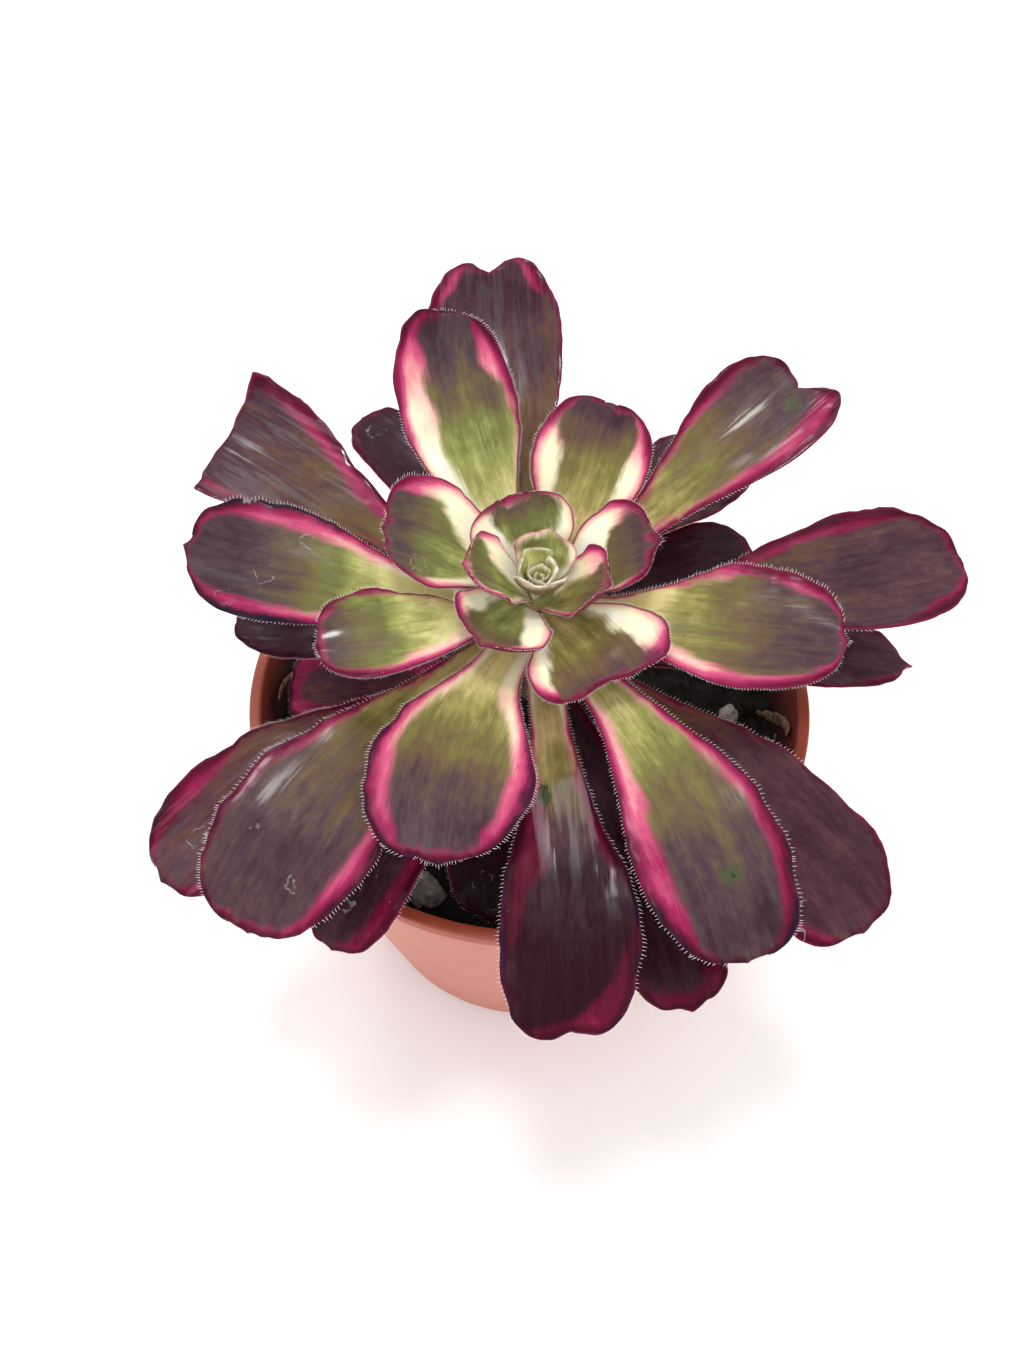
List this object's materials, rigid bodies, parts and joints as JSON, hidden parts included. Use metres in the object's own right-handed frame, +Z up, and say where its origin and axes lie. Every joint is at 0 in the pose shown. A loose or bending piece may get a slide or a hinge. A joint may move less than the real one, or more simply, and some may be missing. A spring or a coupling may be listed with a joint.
{
  "type": "potted aeonium",
  "caption": "Variegated aeonium: a leaning rosette of spoon-shaped, pink-edged leaves on a short stem, in a round plastic nursery pot.",
  "frame": {"origin": "centre of the pot's flat underside, in the plane that it stands on", "axes": "+Z up along the pot's axis; -Y the side that the rosette leans to; +X to its right"},
  "size_m": [0.1574, 0.1449, 0.1543],
  "materials": {
    "pot": "satin terracotta-coloured moulded plastic",
    "soil": "dark damp peat and bark compost",
    "stem": "grey-green stem with leaf scars",
    "bud": "pale green and cream tiny leaves with pink edges",
    "inner_leaf": "satin fleshy leaf, olive with cream bands and a pink margin",
    "middle_leaf": "satin fleshy leaf, olive to brown-purple with a magenta margin",
    "outer_leaf": "satin fleshy leaf, dark wine-purple with crimson patches",
    "stone": "worn grey pebble",
    "perlite": "rough off-white grit"
  },
  "bodies": {
    "root": {"pot": "pot", "soil": "soil", "stem": "stem", "rosette_heart": "bud", "leaf_01": "inner_leaf", "leaf_02": "inner_leaf", "leaf_03": "inner_leaf", "leaf_04": "inner_leaf", "leaf_05": "inner_leaf", "leaf_06": "inner_leaf", "leaf_07": "inner_leaf", "leaf_08": "inner_leaf", "leaf_09": "middle_leaf", "leaf_10": "middle_leaf", "leaf_11": "middle_leaf", "leaf_12": "middle_leaf", "leaf_13": "middle_leaf", "leaf_14": "middle_leaf", "leaf_15": "middle_leaf", "leaf_16": "middle_leaf", "leaf_17": "middle_leaf", "leaf_18": "middle_leaf", "leaf_19": "outer_leaf", "leaf_20": "outer_leaf", "leaf_21": "outer_leaf", "leaf_22": "outer_leaf", "leaf_23": "outer_leaf", "leaf_24": "outer_leaf", "leaf_25": "outer_leaf", "leaf_26": "outer_leaf", "leaf_27": "outer_leaf", "leaf_28": "outer_leaf", "leaf_29": "outer_leaf", "leaf_30": "outer_leaf", "leaf_31": "outer_leaf", "leaf_32": "outer_leaf", "stone": "stone", "perlite_1": "perlite", "perlite_2": "perlite", "perlite_3": "perlite"}
  },
  "joints": []
}
